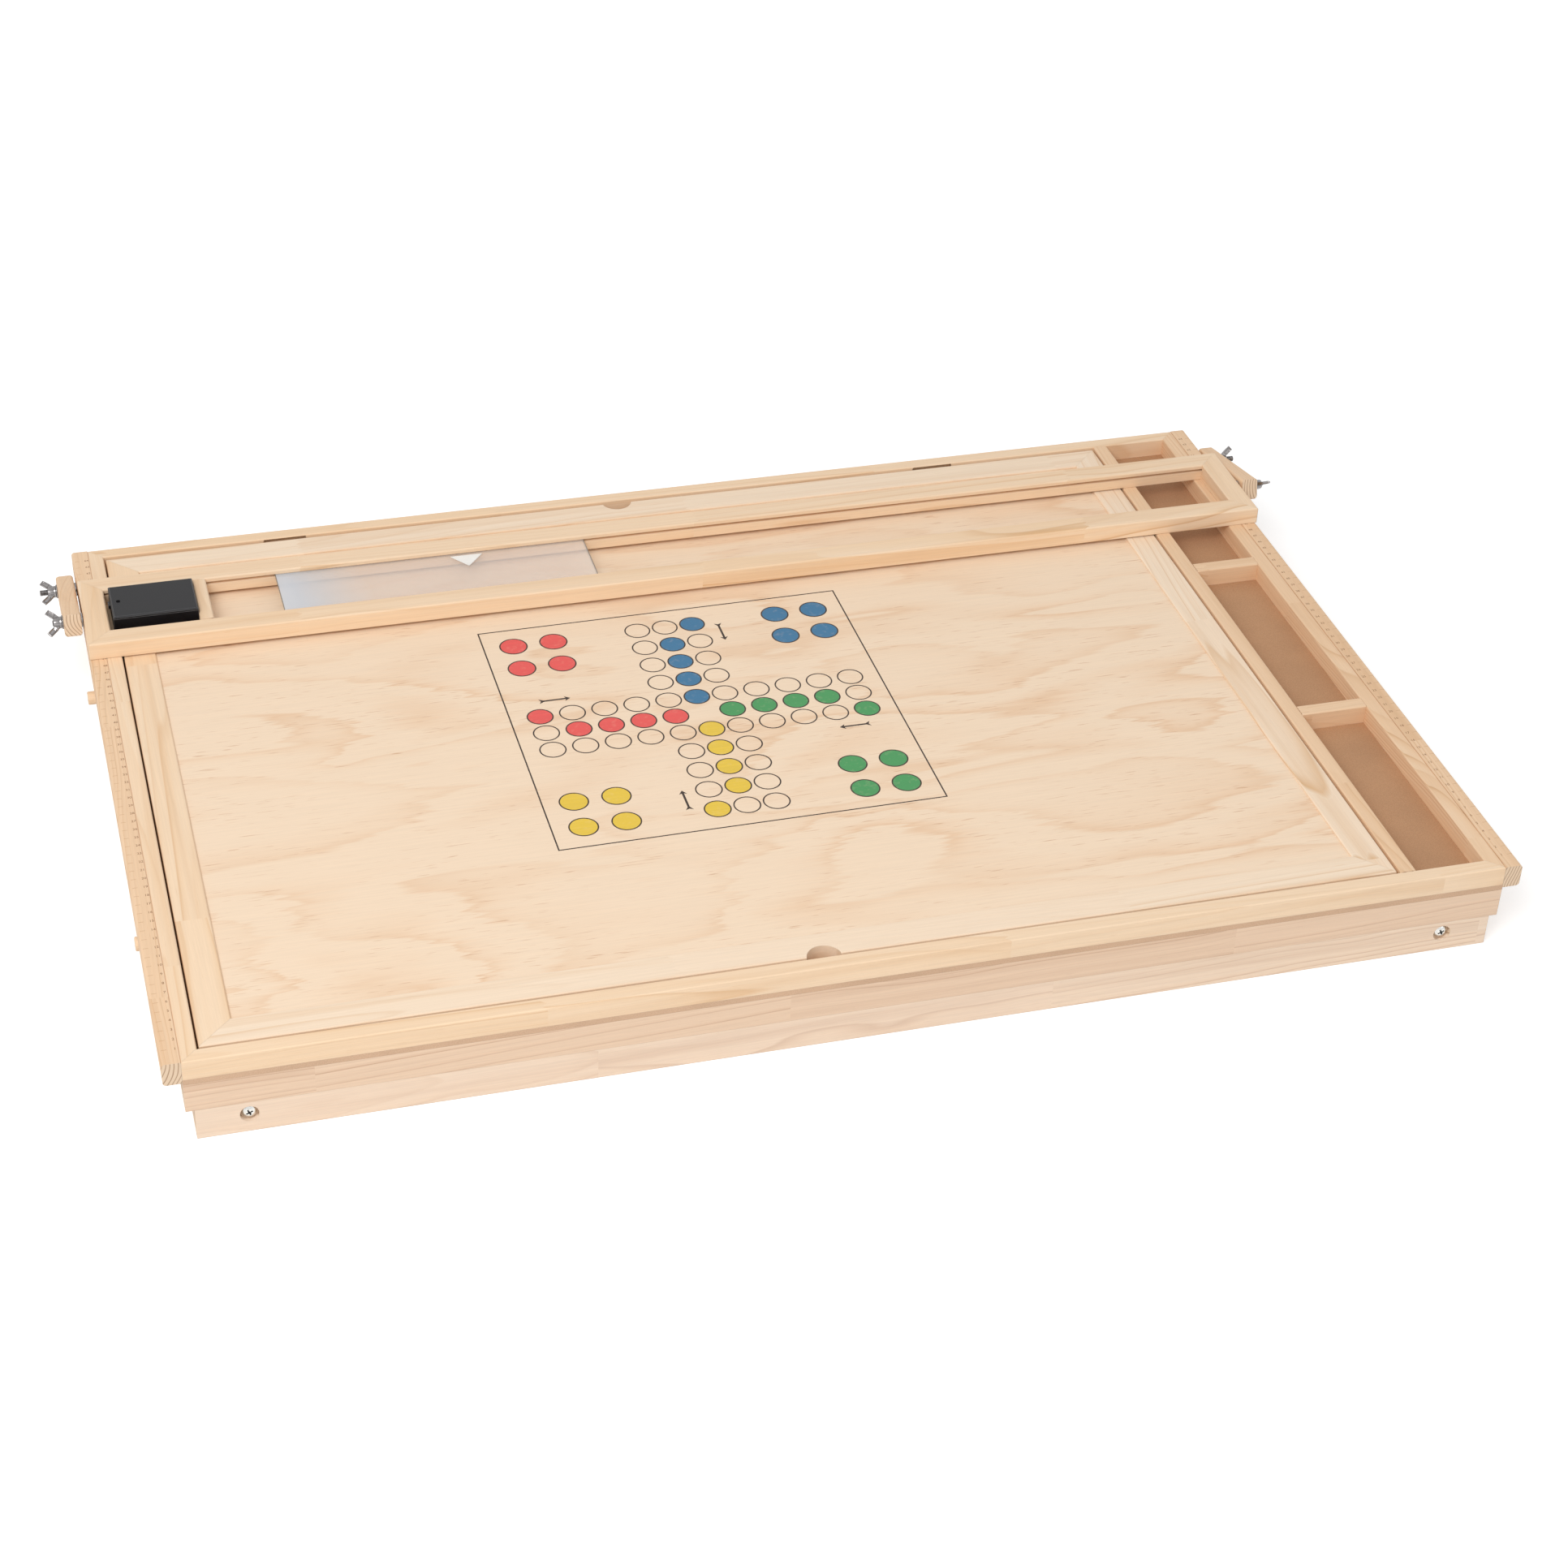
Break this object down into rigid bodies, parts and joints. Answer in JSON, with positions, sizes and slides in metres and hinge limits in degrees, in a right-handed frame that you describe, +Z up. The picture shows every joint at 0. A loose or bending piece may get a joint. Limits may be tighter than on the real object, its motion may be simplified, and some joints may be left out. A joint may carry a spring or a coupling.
{
  "type": "jigsaw puzzle table",
  "caption": "Low wooden jigsaw puzzle table with a lift-out game board, sorting trays, side drawers, folding legs and a sliding bar magnifier on swing arms.",
  "frame": {"origin": "centre of the underside of the base, on the surface that the table lies on", "axes": "+X along the table towards the trays, -Y out of the front, +Z up"},
  "size_m": [1.0392, 0.66, 0.0872],
  "materials": {
    "pine": "planed bare pine, thin clear coat",
    "plywood": "sanded birch-faced plywood",
    "fibreboard": "raw fibreboard",
    "steel": "zinc plated",
    "contact": "nickel plated",
    "black_plastic": "fine matt moulding",
    "cell_can": "plain wrapped can",
    "acrylic": "clear polished sheet"
  },
  "bodies": {
    "frame": {"front_rail": "pine", "back_rail": "pine", "left_rail": "pine", "right_rail": "pine", "left_slide_rail": "pine", "right_slide_rail": "pine", "tray_divider": "pine", "tray_partitions": "pine", "mid_front_rail": "pine", "mid_back_rail": "pine", "mid_right_rail": "pine", "drawer_divider": "pine", "base_front_rail": "pine", "base_back_rail": "pine", "base_left_rail": "pine", "base_right_rail": "pine", "board_front_strip": "pine", "board_back_strip": "pine", "board_left_strip": "pine", "board_right_strip": "pine", "board_panel": "plywood", "deck_panel": "plywood", "floor_panel": "fibreboard", "leg_pivot_screws": "steel"},
    "carriage": {"slot_bolts": "steel"},
    "arms": {"left_arm": "pine", "right_arm": "pine", "arm_washers": "steel"},
    "bridge": {"bridge_front_rail": "pine", "bridge_back_rail": "pine", "bridge_left_rail": "pine", "bridge_right_rail": "pine", "bridge_divider": "pine", "battery_box": "black_plastic", "battery_lid": "black_plastic", "battery_cells": "cell_can", "battery_contacts": "contact", "lid_screw": "steel", "tilt_studs": "steel"},
    "magnifier": {"lens": "acrylic"},
    "switch": {"battery_switch": "black_plastic"},
    "left_front_wing_nut": {"left_front_wing_nut": "steel"},
    "left_back_wing_nut": {"left_back_wing_nut": "steel"},
    "right_front_wing_nut": {"right_front_wing_nut": "steel"},
    "right_back_wing_nut": {"right_back_wing_nut": "steel"},
    "front_drawer": {"front_drawer_front": "pine", "front_drawer_sides": "pine", "front_drawer_back": "pine", "front_drawer_floor": "plywood", "front_drawer_knob": "pine"},
    "back_drawer": {"back_drawer_front": "pine", "back_drawer_sides": "pine", "back_drawer_back": "pine", "back_drawer_floor": "plywood", "back_drawer_knob": "pine"},
    "left_leg_frame": {"left_legs": "pine", "left_leg_stretcher": "pine"},
    "right_leg_frame": {"right_legs": "pine", "right_leg_stretcher": "pine"}
  },
  "joints": [
    {"name": "magnifier_slide", "type": "slide", "parent": "frame", "child": "carriage", "axis": [0, 1, 0], "range_m": [-0.49, 0.025]},
    {"name": "arm_swing", "type": "hinge", "parent": "carriage", "child": "arms", "pos_m": [0, 0.28723, 0.059], "axis": [-1, 0, 0], "range_deg": [0, 90]},
    {"name": "magnifier_tilt", "type": "hinge", "parent": "arms", "child": "bridge", "pos_m": [0, 0.214, 0.0752], "axis": [-1, 0, 0], "range_deg": [-90, 0]},
    {"name": "lens_slide", "type": "slide", "parent": "bridge", "child": "magnifier", "axis": [1, 0, 0], "range_m": [-0.0555, 0.548]},
    {"name": "switch_slide", "type": "slide", "parent": "bridge", "child": "switch", "axis": [0, -1, 0], "range_m": [0, 0.003]},
    {"name": "left_front_nut_turn", "type": "hinge", "parent": "bridge", "child": "left_front_wing_nut", "pos_m": [-0.5068, 0.214, 0.0752], "axis": [-1, 0, 0], "continuous": true},
    {"name": "left_back_nut_turn", "type": "hinge", "parent": "carriage", "child": "left_back_wing_nut", "pos_m": [-0.5068, 0.28723, 0.059], "axis": [-1, 0, 0], "continuous": true},
    {"name": "right_front_nut_turn", "type": "hinge", "parent": "bridge", "child": "right_front_wing_nut", "pos_m": [0.5068, 0.214, 0.0752], "axis": [1, 0, 0], "continuous": true},
    {"name": "right_back_nut_turn", "type": "hinge", "parent": "carriage", "child": "right_back_wing_nut", "pos_m": [0.5068, 0.28723, 0.059], "axis": [1, 0, 0], "continuous": true},
    {"name": "front_drawer_slide", "type": "slide", "parent": "frame", "child": "front_drawer", "axis": [-1, 0, 0], "range_m": [0, 0.3235]},
    {"name": "back_drawer_slide", "type": "slide", "parent": "frame", "child": "back_drawer", "axis": [-1, 0, 0], "range_m": [-0.0035, 0.32]},
    {"name": "left_leg_fold", "type": "hinge", "parent": "frame", "child": "left_leg_frame", "pos_m": [-0.435, 0, 0.015], "axis": [0, 1, 0], "range_deg": [0, 96]},
    {"name": "right_leg_fold", "type": "hinge", "parent": "frame", "child": "right_leg_frame", "pos_m": [0.435, 0, 0.015], "axis": [0, -1, 0], "range_deg": [0, 96]}
  ],
  "couplings": [
    {"joint": "magnifier_tilt", "follows": "arm_swing", "ratio": -1}
  ]
}
